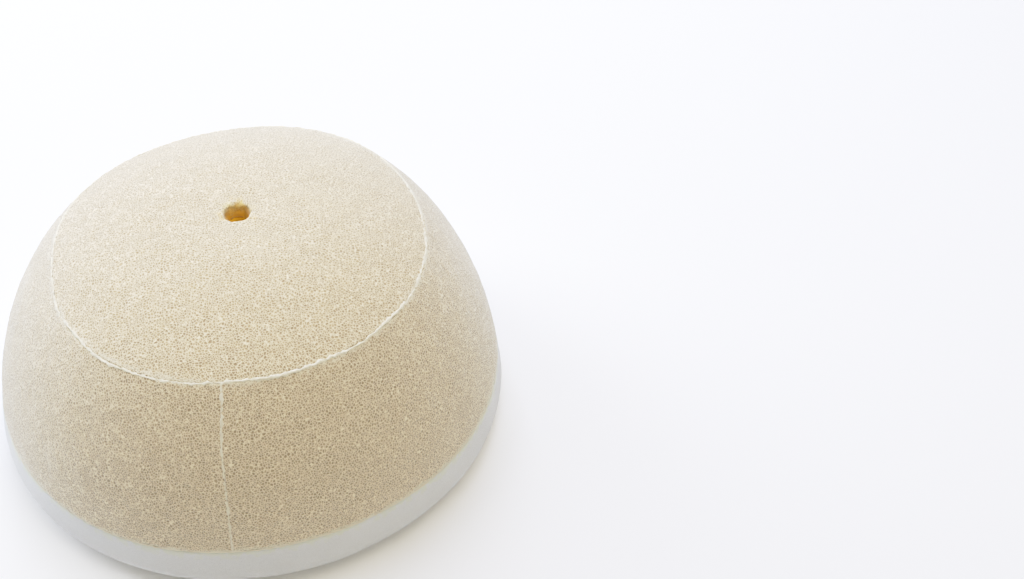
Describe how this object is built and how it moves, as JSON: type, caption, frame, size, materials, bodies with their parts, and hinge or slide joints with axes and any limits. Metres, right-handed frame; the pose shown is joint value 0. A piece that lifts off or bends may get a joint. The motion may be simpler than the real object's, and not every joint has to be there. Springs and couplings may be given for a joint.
{
  "type": "foam air filter",
  "caption": "Round two-layer foam air filter: a domed cup with a bolt hole in its crown, glued to a soft sealing ring with a wide round mouth.",
  "frame": {"origin": "on the filter's axis, in the plane of the sealing face", "axes": "+Z along the bolt hole, from the sealing face to the crown; -Y towards the glued side seams"},
  "size_m": [0.182, 0.182, 0.0855],
  "materials": {
    "coarse_foam": "open-cell reticulated foam, matte, cream tan",
    "fine_foam": "fine open-cell foam, matte, amber",
    "seal_foam": "soft fine-pored foam, matte, white",
    "adhesive": "cured flexible adhesive, satin, off-white",
    "amber_adhesive": "thin cured adhesive soaked into the amber foam, satin"
  },
  "bodies": {
    "root": {"outer_crown_panel": "coarse_foam", "outer_side_band": "coarse_foam", "outer_ring_seam": "adhesive", "outer_side_seam": "adhesive", "outer_base_seam": "adhesive", "inner_crown_panel": "fine_foam", "inner_side_band": "fine_foam", "inner_ring_seam": "amber_adhesive", "inner_side_seam": "amber_adhesive", "inner_base_seam": "amber_adhesive", "bolt_hole_bond_ring": "adhesive", "sealing_ring": "seal_foam"}
  },
  "joints": []
}
